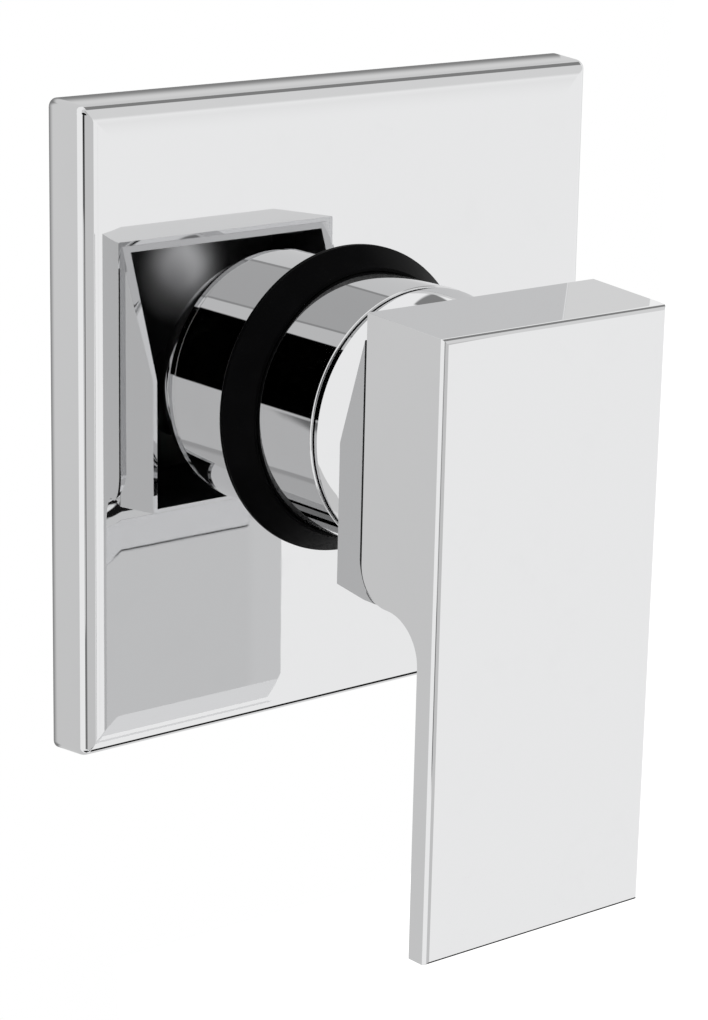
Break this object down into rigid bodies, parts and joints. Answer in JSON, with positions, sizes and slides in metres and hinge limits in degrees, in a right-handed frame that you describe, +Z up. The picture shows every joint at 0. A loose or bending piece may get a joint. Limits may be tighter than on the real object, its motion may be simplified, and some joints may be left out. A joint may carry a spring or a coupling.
{
  "type": "concealed shower mixer",
  "caption": "Concealed single-lever shower mixer: square wall plate, sleeve, domed cap, flat lever handle, ceramic cartridge and brass body with threaded pipe connections.",
  "frame": {"origin": "centre of the wall plate's back rim, on the mixer's axis, in the plane of the finished wall", "axes": "+X to the right seen from the room, +Y into the wall, +Z up"},
  "size_m": [0.12, 0.1092, 0.1487],
  "materials": {
    "chrome": "mirror chrome plate",
    "black_rubber": "smooth black rubber",
    "foam": "closed-cell foam",
    "brass": "cast brass, machined at the threads",
    "steel": "drawn and cut",
    "white_plastic": "moulded",
    "grey_plastic": "moulded",
    "red_plastic": "moulded",
    "ceramic": "lapped ceramic"
  },
  "bodies": {
    "valve": {"wall_plate": "chrome", "plate_gasket": "foam", "sleeve_ring": "black_rubber", "sleeve": "chrome", "dome_cap": "chrome", "neck_o_rings": "black_rubber", "ring_nut": "brass", "valve_body": "brass", "cartridge_base": "grey_plastic", "base_seals": "black_rubber", "disc_seals": "black_rubber", "fixed_disc": "ceramic", "cartridge_housing": "white_plastic", "hot_limit_ring": "red_plastic"},
    "rotor": {"rotor": "white_plastic", "rotor_o_ring": "black_rubber", "pivot_pin": "steel"},
    "disc": {"moving_disc": "ceramic", "disc_slider": "grey_plastic"},
    "lever": {"spindle": "steel", "lever_handle": "chrome", "grub_screw": "steel", "screw_plug": "grey_plastic"}
  },
  "joints": [
    {"name": "temperature", "type": "hinge", "parent": "valve", "child": "rotor", "pos_m": [0, 0, 0], "axis": [0, 1, 0], "range_deg": [-50, 50]},
    {"name": "flow", "type": "hinge", "parent": "rotor", "child": "lever", "pos_m": [0, -0.025, 0], "axis": [-1, 0, 0], "range_deg": [0, 25]},
    {"name": "disc_slide", "type": "slide", "parent": "rotor", "child": "disc", "axis": [0, 0, -1], "range_m": [0, 0.00682]}
  ],
  "couplings": [
    {"joint": "disc_slide", "follows": "flow", "m_per_rad": 0.015625}
  ]
}
